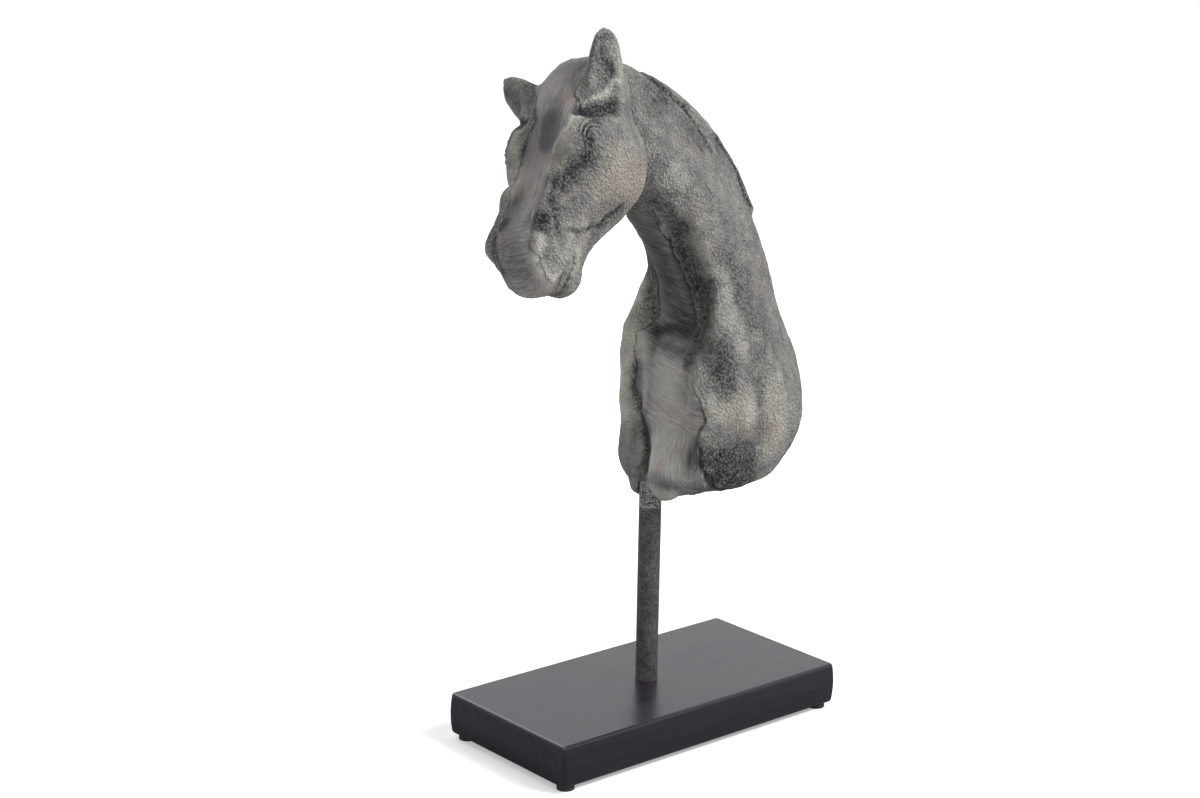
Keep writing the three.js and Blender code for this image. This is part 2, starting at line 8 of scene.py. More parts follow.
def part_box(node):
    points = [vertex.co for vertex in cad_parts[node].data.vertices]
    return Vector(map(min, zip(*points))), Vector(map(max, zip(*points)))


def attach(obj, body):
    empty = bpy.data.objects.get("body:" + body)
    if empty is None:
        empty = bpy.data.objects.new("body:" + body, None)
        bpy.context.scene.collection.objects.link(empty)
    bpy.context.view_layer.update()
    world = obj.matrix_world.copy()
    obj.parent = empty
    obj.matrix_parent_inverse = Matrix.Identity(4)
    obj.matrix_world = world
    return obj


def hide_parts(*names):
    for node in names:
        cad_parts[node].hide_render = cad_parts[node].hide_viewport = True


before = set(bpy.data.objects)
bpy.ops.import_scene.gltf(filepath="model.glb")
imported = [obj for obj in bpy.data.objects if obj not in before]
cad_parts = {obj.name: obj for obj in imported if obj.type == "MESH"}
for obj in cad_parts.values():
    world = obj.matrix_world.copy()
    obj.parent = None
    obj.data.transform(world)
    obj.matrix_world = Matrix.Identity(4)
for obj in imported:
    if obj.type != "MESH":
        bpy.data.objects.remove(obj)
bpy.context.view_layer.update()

# The bust: head, neck and chest in one cast, rough and crackled all over, rubbed smooth along the face, throat
# and chest, with a dark patina left in the hollows. It sits on the rod, in a bore in its underside. The piece is
# made from a copy of its CAD form.

MM = 0.001
SKIN_STEP = 1.5 * MM
ROD_IN_BUST = 18.0
BORE_RADIUS = 8.4
BORE_TOP_GAP = 1.0
STRIP_DEPTH = 0.75

# Two sets of axes, in millimetres: the neck's stand at the rod, at the bust's underside, and the head's at the
# poll, to the left, to the muzzle and to the jaw
HEAD_FORWARD = 79.0
HEAD_HEIGHT = 291.0
TO_LEFT = np.array([0.934, 0.187, 0.304])
TO_MUZZLE = np.array([0.352, -0.627, -0.696])
TO_JAW = np.array([0.061, 0.757, -0.651])

rod_low, rod_high = (np.array(corner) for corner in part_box("rod"))
rod_middle = (rod_low + rod_high) / 2
bust_base = np.array([rod_middle[0], rod_middle[1], rod_high[2] - ROD_IN_BUST * MM])


def only(piece):
    bpy.ops.object.select_all(action="DESELECT")
    piece.select_set(True)
    bpy.context.view_layer.objects.active = piece


def places(piece):
    flat = np.empty(len(piece.data.vertices) * 3)
    piece.data.vertices.foreach_get("co", flat)
    return flat.reshape(-1, 3)


def set_places(piece, points):
    piece.data.vertices.foreach_set("co", points.astype(np.float32).ravel())
    piece.data.update()


def facing(piece):
    flat = np.empty(len(piece.data.vertices) * 3)
    piece.data.vertices.foreach_get("normal", flat)
    return flat.reshape(-1, 3)


def joined_edges(piece):
    flat = np.empty(len(piece.data.edges) * 2, dtype=np.int32)
    piece.data.edges.foreach_get("vertices", flat)
    return flat.reshape(-1, 2)


def neighbour_mean(values, edges):
    count = len(values)
    links = np.bincount(edges.ravel(), minlength=count)
    columns = values.reshape(count, -1)
    mean = np.empty_like(columns)
    for column in range(columns.shape[1]):
        there = np.bincount(edges[:, 0], weights=columns[edges[:, 1], column], minlength=count)
        back = np.bincount(edges[:, 1], weights=columns[edges[:, 0], column], minlength=count)
        mean[:, column] = (there + back) / np.maximum(links, 1)
    return mean.reshape(values.shape)


def relaxed(values, edges, rounds, share=0.5, swell=0.0):
    for _ in range(rounds):
        values = values + share * (neighbour_mean(values, edges) - values)
        if swell:
            values = values - swell * (neighbour_mean(values, edges) - values)
    return values


def ease(low, high, value):
    share = np.clip((value - low) / (high - low), 0, 1)
    return share * share * (3 - 2 * share)


def level(knots, at):
    return np.interp(at, [knot[0] for knot in knots], [knot[1] for knot in knots])


def apart(points, run):
    run = [np.array(place, dtype=float) for place in run]
    best = np.full(len(points), 1e9)
    for start, end in zip(run, run[1:] or run):
        along = end - start
        reach = max(along @ along, 1e-9)
        share = np.clip((points - start) @ along / reach, 0, 1)
        gap = points - start - share[:, None] * along
        best = np.minimum(best, (gap * gap).sum(axis=1))
    return np.sqrt(best)


def stroke(points, run, radius):
    return np.clip(1 - (apart(points, run) / radius) ** 2, 0, 1) ** 2


def cloud(points, size, seed, octaves=1):
    total = np.zeros(len(points))
    for octave in range(octaves):
        lattice = np.random.default_rng(seed + octave).random((32, 32, 32)) * 2 - 1
        place = points / size * 2 ** octave + 100.5
        cell = np.floor(place).astype(int)
        share = place - cell
        share = share * share * (3 - 2 * share)
        value = np.zeros(len(points))
        for corner in np.ndindex(2, 2, 2):
            near = np.abs(1 - np.array(corner) - share)
            at = (cell + corner) % 32
            value += near[:, 0] * near[:, 1] * near[:, 2] * lattice[at[:, 0], at[:, 1], at[:, 2]]
        total += value / 2 ** octave
    return total


def select_near(piece, wanted):
    flat = np.empty(len(piece.data.polygons) * 3)
    piece.data.polygons.foreach_get("center", flat)
    faces = wanted(flat.reshape(-1, 3))
    piece.data.vertices.foreach_set("select", np.zeros(len(piece.data.vertices), dtype=bool))
    piece.data.edges.foreach_set("select", np.zeros(len(piece.data.edges), dtype=bool))
    piece.data.polygons.foreach_set("select", faces)


def in_head(points):
    from_poll = points - np.array([0, -HEAD_FORWARD, HEAD_HEIGHT])
    return np.stack([from_poll @ TO_LEFT, from_poll @ TO_MUZZLE, from_poll @ TO_JAW], axis=1)


def bust_frame(points):
    neck = (points - bust_base) / MM
    return neck, in_head(neck)


def to_near_side(points):
    return np.stack([np.abs(points[:, 0]), points[:, 1], points[:, 2]], axis=1)


cad_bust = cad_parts["horse_head"]
bust = cad_bust.copy()
bust.data = cad_bust.data.copy()
bust.name = "bust"
bust.parent = None
bust.matrix_world = Matrix.Identity(4)
bpy.context.collection.objects.link(bust)
only(bust)
bpy.ops.object.mode_set(mode="EDIT")
bpy.ops.mesh.select_all(action="SELECT")
bpy.ops.mesh.remove_doubles(threshold=0.01 * MM)
bpy.ops.object.mode_set(mode="OBJECT")
remesh = bust.modifiers.new("skin", "REMESH")
remesh.mode = "VOXEL"
remesh.voxel_size = SKIN_STEP
bpy.ops.object.modifier_apply(modifier=remesh.name)

# The remeshed skin is evened out, but less at the ears, which are thin
EARS = ([(28, 3, 4), (33, -27, -13)], [(-30, 3, 5), (-60, -16, -3)])
EAR_REACH = 19.0
edges = joined_edges(bust)
stepped = places(bust)
_, head = bust_frame(stepped)
on_ear = np.maximum(*(stroke(head, run, EAR_REACH) for run in EARS))
on_ear = ease(0.10, 0.45, on_ear)[:, None]
thin_parts = relaxed(stepped, edges, 8, 0.5, 0.47)
broad_parts = relaxed(stepped, edges, 26, 0.5, 0.42)
set_places(bust, on_ear * thin_parts + (1 - on_ear) * broad_parts)

# Finer faces round the eyes, for the lids
EYE = (35.5, 45.0, 3.0)
for reach in (13.0, 11.0):
    select_near(bust, lambda middles: stroke(to_near_side(bust_frame(middles)[1]), [EYE], reach) > 0)
    bpy.ops.object.mode_set(mode="EDIT")
    bpy.ops.mesh.select_mode(type="FACE")
    bpy.ops.mesh.subdivide(number_cuts=1, smoothness=0.0)
    bpy.ops.object.mode_set(mode="OBJECT")

neck, head = bust_frame(places(bust))
sides = to_near_side(head)
flanks = to_near_side(neck)
above_neck = ease(232, 246, neck[:, 2] + 1.2 * np.clip(-neck[:, 1], 0, 60))
on_head = ease(118, 92, head[:, 2]) * above_neck * ease(-18, -8, head[:, 1])

# Where it is rubbed smooth: millimetres inside the strips, less than nothing outside
FACE_NEAR = [(-28, 0), (-20, 29), (-7, 27), (4, 23), (11, 18), (16, 17), (21, 20), (30, 24), (36, 25),
             (45, 25), (48, 21), (54, 15.6), (62, 13.5), (74, 12), (87, 12.5), (102, 12), (112, 13),
             (120, 15.1), (132, 16.6), (150, 17)]
FACE_DEPTH = [(60, 20), (115, 16), (125, 30), (132, 38)]
FACE_FAR = [(-24, 0), (-16, 24), (1, 22), (12, 15), (24, 10.5), (33, 7.5), (40, 11.5), (44, 12.6), (59, 14),
            (75, 13), (102, 12), (120, 14), (132, 15.5), (150, 16)]
CHEST_NEAR = [(-10, 44), (21, 44), (39, 42), (53, 40.5), (67, 44), (81, 40), (93, 31), (97, 16), (106, 15),
              (117, 18), (127, 18), (142, 17.4), (156, 15.8), (175, 14.9), (190.6, 17.8), (209, 23.9),
              (230, 27)]
CHEST_FAR = [(-10, -3), (26, -2.4), (39, -0.3), (50, 7.6), (61, 19.7), (74, 25.5), (91, 26.3), (105, 27.9),
             (114, 27), (127, 20), (142, 17.4), (156, 16), (175, 14), (189, 13.2), (208, 17.7), (230, 21)]
CHEST_DEPTH = [(0, 30), (90, 30), (127, 40), (160, 32), (190, 12), (215, 0), (232, -45)]
face_edge = np.where(head[:, 0] > 0, level(FACE_NEAR, head[:, 1]), level(FACE_FAR, head[:, 1]))
face_strip = face_edge - np.abs(head[:, 0])
face_strip = np.minimum(face_strip, level(FACE_DEPTH, head[:, 1]) - head[:, 2])
chest_edge = np.where(neck[:, 0] > 0, level(CHEST_NEAR, neck[:, 2]), level(CHEST_FAR, neck[:, 2]))
chest_strip = chest_edge - np.abs(neck[:, 0])
chest_strip = np.minimum(chest_strip, level(CHEST_DEPTH, neck[:, 2]) - neck[:, 1])
is_head = (on_head > 0.5) | (head[:, 2] < 62) & (neck[:, 2] > 150)
strip = np.where(is_head, face_strip, chest_strip)
strip = strip + 1.3 * cloud(neck, 7.0, 11, 3)
smooth = ease(-0.9, 0.9, strip)

# Carving, in strokes: the axes, a run of points, a radius and the rise from the skin. "sides" and "flanks" are
# the head's and the neck's axes with the far side folded on the near one, so such a stroke is cut on both.
exact = {"sides": sides, "flanks": flanks, "neck": neck, "head": head}
DEEP = [
    ("sides", [(22.5, 27.5, -1), (27, 24.5, 3), (31, 21, 7), (34.5, 16.5, 11.5)], 7.0, -2.4),
    ("sides", [(23.5, 85.2, 15)], 3.4, -1.4),
    ("sides", [(21.1, 86.2, 37.6)], 2.4, -0.9),
    ("sides", [(22.2, 103, 21.2), (20.7, 95.8, 32.9), (19.2, 87.6, 39.8), (16.6, 79.2, 47.5)], 2.6, -1.1),
    ("sides", [(18.9, 110.7, 34.1), (15.3, 123.5, 38.6), (9, 129, 41)], 2.8, -1.2),
    ("head", [(15, 105.4, 2.8), (17.7, 114.5, 1.7)], 7.0, -1.8),
    ("head", [(-19, 108, 6)], 6.0, -1.2),
    ("sides", [(16.9, 78.5, 1.4), (17.3, 91, 4.4), (20, 99.8, 9.1), (21.5, 109.8, 13.6)], 3.2, -0.8),
    ("sides", [(19.5, 75.8, 47.7), (22.2, 70.1, 50.1), (26.4, 63.8, 52.5)], 3.5, -1.0),
    ("flanks", [(0, -20.8, 298.9), (6.9, 1.1, 282.6), (9.9, 18.4, 266.6), (15.7, 33.7, 242.8)], 3.0, -1.5),
    ("flanks", [(9.4, 43.8, 249.2), (9.2, 61.8, 229.5), (9.7, 70.5, 211.3), (9.6, 77.7, 199.5)], 3.2, -1.6),
    ("neck", [(-27.9, 12.2, 104.7), (-26.3, 8.4, 91.4), (-25.5, 7.3, 74), (-19.7, 8.1, 61), (-7.6, 3.2, 50),
              (0.3, -3.4, 39), (2.4, -9.4, 26)], 5.0, -2.2),
    ("neck", [(-19, 17.8, 114), (-2.7, 16.7, 119.3), (11.7, 17.4, 119.1)], 7.0, -1.3),
    ("flanks", [(34.4, -5.9, 223.8)], 3.0, -1.2),
    ("flanks", [(34.5, 6.1, 204.1)], 2.0, -0.8),
    ("flanks", [(32.4, 13.6, 222.9), (32, 19.6, 216.4)], 2.2, -0.7),
    ("sides", [(33.4, 49.8, 1.5), (35.8, 49.6, 5.0), (36.8, 46.5, 8.2)], 1.4, -1.1),
    ("sides", [(32.2, 47.6, -2.3), (32.2, 43.7, -2.7), (32.7, 39.8, -1), (32.2, 34.8, 4), (33.4, 33.8, 7.2)],
     1.3, -1.2),
    ("sides", [(33.7, 48.4, -0.3), (33.7, 45, -0.8), (34.4, 42, 0.5), (35.1, 39.4, 3.8), (35.4, 38.6, 6.2)],
     1.3, -1.2),
    ("neck", [(15.6, 12, 98), (26, 9, 95.5), (33, 4.5, 89), (40.4, 6.2, 80)], 2.6, -0.8),
]
PROUD = [
    ("sides", [(21.6, 23.1, -1.5), (26.3, 17.9, 1.8), (30.2, 10.2, 5.9), (34, 2.3, 6), (36.2, 1.3, 7)],
     4.4, 2.4),
    ("head", [(18.2, 117, 1.4), (20.2, 123.4, 2.8), (19.2, 129, 5.6)], 5.5, 1.1),
    ("head", [(-19, 121, 4)], 7.0, 0.8),
    ("head", [(-32, 10, 0), (-34, 22, 0), (-35, 31, 0)], 14.0, 3.2),
    ("head", [(-20, 72, 3), (-18, 84, 3)], 15.0, 3.0),
    ("sides", [(33.2, 51.5, 1.2), (35.6, 52.0, 5.0), (37.0, 49.5, 9.0), (37.0, 45.5, 10.5)], 1.5, 1.0),
    ("sides", [(31.3, 46.9, -3.3), (31.2, 42.7, -3.6), (31.5, 38.2, -1.7), (30.5, 32.5, 4.4),
               (31.8, 30.9, 7.9)], 1.6, 1.4),
    ("sides", [(33, 48.4, -1.4), (33.1, 44.7, -1.7), (33.9, 41.4, -0.5), (34.5, 38.2, 3), (35, 36.7, 6.6)],
     1.5, 1.4),
    ("sides", [(34.4, 48.3, 0.7), (34.3, 45.4, 0.2), (35, 42.7, 1.5), (35.7, 40.6, 4.5), (36, 41.5, 7.5)],
     1.4, 1.3),
    ("sides", [(35.8, 46.0, 4.4)], 4.2, 1.1),
    ("sides", [(24.7, 35.6, -5.3), (26, 44.7, -6.5), (20.9, 50, -6), (16, 58, -3)], 6.0, 0.9),
    ("neck", [(15.3, 13.8, 104.4), (15.6, 11.9, 97.1), (27, 8, 95), (35.8, 3.9, 85.9), (42, 6.1, 78)],
     3.0, 0.9),
    ("neck", [(32, -2.3, 25), (37.5, 1.9, 22)], 4.0, 0.6),
    ("neck", [(-10, -2, 9), (3, -3, 9), (14, 2, 8)], 13.0, 5.0),
    ("sides", [(15.7, 132.6, 9), (15.9, 134.3, 13.4), (16.3, 137.2, 20.1), (16.4, 137.1, 26.8)], 4.5, 0.8),
]
NOSTRIL_BUMP = (19.9, 123.4, 2.4)
BUMP_RADIUS = 3.6
BUMP_GROOVE = 1.2
height = -STRIP_DEPTH * smooth
for at, run, radius, rise in DEEP + PROUD:
    height += rise * stroke(exact[at], run, radius)
from_groove = np.abs(apart(head, [NOSTRIL_BUMP]) - BUMP_RADIUS)
height -= 0.35 * np.clip(1 - from_groove / BUMP_GROOVE, 0, 1)
rough = 1 - smooth
height += rough * (0.28 * cloud(neck, 3.4, 3) + 0.30 * cloud(neck, 8.0, 5) + 0.45 * cloud(neck, 22.0, 7))
height += smooth * (0.10 * cloud(neck, 9.0, 21) + 0.18 * cloud(neck, 26.0, 23))

# The bore for the rod keeps its width, and nothing passes the CAD form's box
carved = places(bust) + facing(bust) * (height * MM)[:, None]
from_rod = carved[:, :2] - bust_base[:2]
radius = np.hypot(from_rod[:, 0], from_rod[:, 1])
bore_top = bust_base[2] + (ROD_IN_BUST - BORE_TOP_GAP) * MM
in_bore = (radius < BORE_RADIUS * MM) & (carved[:, 2] < bore_top)
widening = BORE_RADIUS * MM / np.maximum(radius[in_bore], MM)
carved[in_bore, :2] = bust_base[:2] + from_rod[in_bore] * widening[:, None]
box_low, box_high = (np.array(corner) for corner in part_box("horse_head"))
set_places(bust, np.clip(carved, box_low, box_high))
bpy.ops.object.shade_smooth()

# The patina, in strokes too: dark in the hollows, pale where the cast was wiped. One dark stroke is painted
# shade instead, under the jaw; the far chest lobe is made paler and the very bottom darker. Its strokes are
# measured on warped places, which makes their borders ragged.
NECK_WARP = 3.6
HEAD_WARP = 2.6
STROKE_SPREAD = 1.25
warp = np.stack([cloud(neck, 15.0, 31 + axis, 2) for axis in range(3)], axis=1)
loose = {}
for name, points in exact.items():
    loose[name] = points + (NECK_WARP if name in ("neck", "flanks") else HEAD_WARP) * warp
DARK = [
    ("sides", [(23.5, 27.5, -1), (28, 25, 3), (31.5, 21.5, 7), (34.5, 16.5, 11.5)], 8.5, 1.1),
    ("sides", [(27, 26, 2), (31, 34, 4)], 7.0, 0.9),
    ("sides", [(35, 50, 3), (33, 54.2, 7.3), (29, 60.5, 7.8)], 5.5, 1.2),
    ("sides", [(33, 54, 7), (29.8, 59.4, 7.5), (22.7, 72.9, 7.9), (17.8, 80, 2.9)], 8.5, 0.9),
    ("sides", [(12.5, 108, 1), (16.8, 104, 3.4), (17.5, 114, 2)], 9.0, 1.0),
    ("sides", [(16.9, 78.5, 1.4), (17.3, 91, 4.4), (20, 99.8, 9.1), (21.5, 109.8, 13.6)], 6.0, 0.7),
    ("sides", [(22.2, 103, 21.2), (20.7, 95.8, 32.9), (19.2, 87.6, 39.8)], 2.6, 0.7),
    ("sides", [(18.9, 110.7, 34.1), (15.3, 123.5, 38.6), (2.5, 132.6, 42.5)], 2.4, 0.6),
    ("sides", [(4.5, 132, 42.8), (10.5, 128.5, 42)], 5.0, 0.55),
    ("sides", [(16.6, 79.2, 47.5), (17.8, 74.5, 49.1), (21, 69.1, 51.1), (25.7, 63.2, 53.2)], 6.0, 0.8),
    ("sides", [(28.5, -19, -14.5), (27.5, -12, -13), (26.2, -3, -10)], 9.0, 0.8),
    ("head", [(3, 34, -8.5), (6, 42, -8.3), (9, 50, -7)], 11.0, 1.05),
    # Painted shade: the throat's near side just under the jaw, darkened as if shaded by the jaw
    ("neck", [(30, -21, 218), (29, -15, 210), (23.7, -2, 192), (21, 8, 176), (22, 17, 158)], 10.0, 0.75),
    ("neck", [(22, 17, 158), (26.4, 20.3, 144), (31, 20.8, 129), (34, 18.5, 114)], 12.0, 0.7),
    ("neck", [(-25, 4, 190), (-24, 20, 145), (-36, 20, 112)], 13.0, 0.8),
    ("neck", [(-19, 18, 116), (-2.7, 17, 121), (13, 17, 121)], 10.0, 0.7),
    ("neck", [(-27.9, 12.2, 104.7), (-26.3, 8.4, 91.4), (-25.5, 7.3, 74), (-19.7, 8.1, 61), (-7.6, 3.2, 50),
              (0.3, -3.4, 39), (2.4, -9.4, 26), (3, -10, 8)], 6.0, 1.0),
    ("neck", [(43.4, 20.4, 110), (46, 21, 92)], 14.0, 0.8),
    ("neck", [(46, 21, 96), (50.5, 34, 93), (48.3, 51.7, 88.8), (49.5, 54, 76)], 8.0, 0.4),
    ("neck", [(43, 9, 38), (47.9, 23.6, 40.4), (48.4, 42.9, 31.4)], 15.0, 1.1),
    ("neck", [(46.2, 18.9, 26), (47, 32, 22), (46, 48, 14)], 15.0, 1.25),
    ("head", [(-14.8, 108, -1.6), (-14.8, 119.7, -3.6), (-14.2, 129.6, 1), (-13.5, 136, 10)], 2.2, 0.9),
    ("sides", [(32.3, -16.8, -10.4), (33.8, -11.8, -4), (35, -4.6, 1.8)], 2.6, 0.8),
    ("sides", [(27.1, -18.1, -14.8), (25.5, -5, -11.4), (22.2, 3.3, -7.8)], 3.0, 0.7),
    ("neck", [(34, 38, 168), (37, 44, 153), (42, 48, 134), (40.6, 61, 126)], 19.0, 0.5),
    ("neck", [(32.8, 21.5, 158), (28.4, 22.4, 134.6), (41.8, 18.7, 115)], 8.0, 0.5),
    ("neck", [(9.5, -16.8, 282.8), (8, 2.7, 278.7), (5.8, -2.9, 286.7)], 8.0, 0.6),
    ("flanks", [(20, -20, 278), (14, 0, 264), (12, 20, 252)], 15.0, 0.4),
    ("flanks", [(0, -20.8, 298.9), (6.9, 1.1, 282.6), (9.9, 18.4, 266.6), (15.7, 33.7, 242.8)], 4.0, 0.9),
    ("flanks", [(9.4, 43.8, 249.2), (9.2, 61.8, 229.5), (9.7, 70.5, 211.3), (9.6, 77.7, 199.5)], 6.0, 0.9),
    ("flanks", [(34.4, -5.9, 223.8)], 3.0, 1.0),
    ("sides", [(32.2, 47.6, -2.3), (32.2, 43.7, -2.7), (32.7, 39.8, -1), (32.2, 34.8, 4)], 1.2, 0.7),
    ("sides", [(33.7, 48.4, -0.3), (33.7, 45, -0.8), (34.4, 42, 0.5), (35.1, 39.4, 3.8)], 1.2, 0.7),
    ("sides", [(35.8, 49.0, 4.4)], 4.0, 0.8),
    ("neck", [(4, -26, 222), (3, -8, 196), (4, 8, 168), (6, 14, 140), (8, 16, 122)], 21.0, 0.42),
    ("neck", [(-14, 16, 110), (4, 13, 108), (16, 14, 106)], 9.0, 0.6),
    ("head", [(-14, 4, -6), (-4, -8, -8), (10, -14, -10)], 17.0, 0.5),
    ("head", [(-15, 100, 0), (-17, 118, 2), (-14, 136, 12)], 6.0, 0.7),
    ("head", [(-11.2, 23.6, -9), (-7.6, 32.6, -8.8), (-12.6, 44, -6.9), (-14.3, 58.8, -3.8)], 3.0, 0.9),
    ("neck", [(18, -12, 20), (36, 0, 12), (44, 16, 14)], 10.0, 0.7),
    ("head", [(2, 2, -12), (-2, 16, -10), (-7, 32, -8), (-7, 62, -6), (-9, 92, -4)], 17.0, 0.27),
    ("sides", [(30, -24, -15), (29.5, -14, -11), (29, -4, -7)], 11.0, 0.42),
]
RUST = [
    ("neck", [(-19.8, 3.1, 46.1)], 4.5, 0.9),
    ("neck", [(15.3, -5.6, 36), (15, -6, 28)], 3.0, 0.9),
    ("neck", [(43.8, 9.1, 64)], 2.6, 0.8),
    ("neck", [(34.7, 20.9, 187.9)], 3.0, 0.6),
    ("neck", [(54, 84, 55), (54, 86, 48)], 2.6, 0.8),
]
PINK = [
    ("neck", [(55, -76, 248), (52, -61, 236), (55.7, -89, 233)], 17.0, 0.5),
    ("neck", [(54, 66, 76), (54, 60, 50)], 10.0, 0.4),
]
PALE = [
    ("sides", [(21.6, 23.1, -1.5), (26.3, 17.9, 1.8), (30.2, 10.2, 5.9), (34, 2.3, 6), (36.2, 1.3, 7)],
     4.8, 0.8),
    ("sides", [(18.2, 117, 1.4), (20.2, 123.4, 2.8), (19.2, 129, 5.6)], 6.0, 0.8),
    ("sides", [(15.7, 132.6, 9), (16.9, 134.3, 15), (16.3, 134, 20.1), (16.4, 134, 26.8)], 7.0, 0.9),
    ("sides", [(38, 49, 31)], 24.0, 0.5),
    ("sides", [(24.7, 35.6, -5.3), (26, 44.7, -6.5), (20.9, 50, -6), (15, 60, -3), (14, 70, -1)], 6.0, 1.0),
    ("sides", [(34.6, -20.6, -8.8), (37.7, -13, -1), (38.6, -6.1, 4.9)], 5.0, 0.9),
    ("flanks", [(30, -15, 230)], 14.0, 0.6),
    ("neck", [(35.2, 5, 200), (33.5, 15.9, 181.6), (37.2, 28.9, 155), (43.6, 31, 136), (47.2, 36.4, 116)],
     8.0, 0.7),
    ("neck", [(49.1, 21.3, 70), (45.8, 15.7, 80.6), (53, 36, 70)], 11.0, 1.1),
    ("neck", [(52.7, 62, 84), (55.5, 68, 53), (52, 60, 40)], 12.0, 1.15),
    ("neck", [(44, 63.4, 17.8)], 8.0, 0.6),
    # Paler all over the far chest lobe
    ("neck", [(-29, 4, 60), (-29, 6, 108), (-32, 15, 138)], 17.0, 2.0),
    ("neck", [(15.3, 13.8, 104.4), (15.6, 11.9, 97.1), (27, 8, 95), (35.8, 3.9, 85.9), (42, 6.1, 78)],
     3.0, 0.9),
    ("sides", [(20, 100, 28), (18, 112, 40)], 14.0, 0.9),
    ("sides", [(24, 49, -4), (21, 57, -1), (18, 66, 1)], 9.0, 0.9),
    ("neck", [(6, 8, 92), (12, 4, 60), (16, -2, 34)], 28.0, 1.0),
    ("neck", [(42, 9, 50), (49, 26, 50)], 5.0, 0.5),
    ("sides", [(31.3, 46.9, -3.3), (31.2, 42.7, -3.6), (31.5, 38.2, -1.7), (30.5, 32.5, 4.4)], 1.5, 0.6),
    ("sides", [(33, 48.4, -1.4), (33.1, 44.7, -1.7), (33.9, 41.4, -0.5), (34.5, 38.2, 3)], 1.4, 0.6),
]


def painted(strokes):
    value = np.zeros(len(neck))
    for at, run, radius, weight in strokes:
        value = np.maximum(value, weight * stroke(loose[at], run, radius * STROKE_SPREAD))
    return value


edges = joined_edges(bust)
skin = places(bust)
normals = facing(bust)
hollow = np.zeros(len(skin))
for rounds, share in ((6, 0.9), (30, 0.5)):
    sunk = ((relaxed(skin, edges, rounds) - skin) * normals).sum(axis=1) / MM
    hollow += share * sunk
dark = painted(DARK) + np.clip(hollow, -0.5, 1.2) * 0.45
# Darker at the very bottom of the bust, round the rod
dark += 0.5 * ease(6, -2, neck[:, 2])
pale = painted(PALE) + np.clip(-hollow, 0, 1.2) * 0.35


def attribute(piece, name, values, kind="FLOAT"):
    layer = piece.data.attributes.new(name, kind, "POINT")
    layer.data.foreach_set("value" if kind == "FLOAT" else "vector", values.astype(np.float32).ravel())


attribute(bust, "strip", strip)
attribute(bust, "dark", dark)
attribute(bust, "pale", pale)
attribute(bust, "rust", painted(RUST))
attribute(bust, "pink", painted(PINK))

# The way that the strips were brushed: along the face, round the nose, across the throat and down the chest
NOSE_FROM = 104
CHEST_BELOW = 58
lengthwise = np.stack([head[:, 0], head[:, 1] / 28, head[:, 2] / 8], axis=1)
crosswise = np.stack([neck[:, 0] / 28, neck[:, 1] / 12, neck[:, 2] + 0.22 * neck[:, 0]], axis=1)
downwards = np.stack([neck[:, 0], neck[:, 1] / 8, neck[:, 2] / 28], axis=1)
round_nose = np.stack([head[:, 0] / 28, head[:, 1], head[:, 2]], axis=1)
ragged = 7 * cloud(neck, 9.0, 41, 2)
on_face = np.where((head[:, 1] + ragged > NOSE_FROM)[:, None], round_nose, lengthwise)
on_neck = np.where((neck[:, 2] + ragged > CHEST_BELOW)[:, None], crosswise, downwards)
brush = np.where(is_head[:, None], on_face, on_neck)
attribute(bust, "brush", brush, "FLOAT_VECTOR")


def node(tree, kind, **settings):
    made = tree.nodes.new(kind)
    for name, value in settings.items():
        if name == "inputs":
            for socket, setting in value.items():
                made.inputs[socket].default_value = setting
        else:
            setattr(made, name, value)
    return made


def joins(tree, *pairs):
    for start, end in pairs:
        tree.links.new(start, end)


def maths(tree, operation, first, second=None, third=None, clamp=False):
    made = node(tree, "ShaderNodeMath", operation=operation, use_clamp=clamp)
    for socket, value in zip(made.inputs, (first, second, third)):
        if value is None:
            continue
        if isinstance(value, (int, float)):
            socket.default_value = value
        else:
            tree.links.new(value, socket)
    return made.outputs[0]


def eased(tree, value, low, high, start=0.0, end=1.0):
    made = node(tree, "ShaderNodeMapRange", interpolation_type="SMOOTHSTEP")
    tree.links.new(value, made.inputs["Value"])
    for name, setting in (("From Min", low), ("From Max", high), ("To Min", start), ("To Max", end)):
        made.inputs[name].default_value = setting
    return made.outputs["Result"]


def noise(tree, vector, scale, detail=2.0, roughness=0.5, distortion=0.0):
    made = node(tree, "ShaderNodeTexNoise", inputs={
        "Scale": scale, "Detail": detail, "Roughness": roughness, "Distortion": distortion})
    tree.links.new(vector, made.inputs["Vector"])
    return made.outputs["Fac"]


def ramp(tree, value, stops):
    made = node(tree, "ShaderNodeValToRGB")
    tree.links.new(value, made.inputs["Fac"])
    marks = made.color_ramp.elements
    while len(marks) < len(stops):
        marks.new(0.5)
    for mark, (place, colour) in zip(marks, stops):
        mark.position = place
        mark.color = (*colour, 1)
    return made.outputs["Color"]


def blend(tree, share, first, second):
    made = node(tree, "ShaderNodeMix", data_type="RGBA")
    for name, value in (("Factor", share), ("A", first), ("B", second)):
        socket = made.inputs[name]
        if isinstance(value, (tuple, float)):
            socket.default_value = (*value, 1) if isinstance(value, tuple) else value
        else:
            tree.links.new(value, socket)
    return made.outputs["Result"]


def material(name):
    made = bpy.data.materials.new(name)
    made.use_nodes = True
    shader = made.node_tree.nodes["Principled BSDF"]
    return made, made.node_tree, shader


def read(tree, name, output="Fac"):
    return node(tree, "ShaderNodeAttribute", attribute_name=name).outputs[output]


def object_place(tree):
    return node(tree, "ShaderNodeTexCoord").outputs["Object"]


def shifted(tree, value, by, share, middle=0.5, clamp=False):
    return maths(tree, "MULTIPLY_ADD", maths(tree, "SUBTRACT", by, middle), share, value, clamp=clamp)


def finish(piece, look):
    piece.data.materials.clear()
    piece.data.materials.append(look)


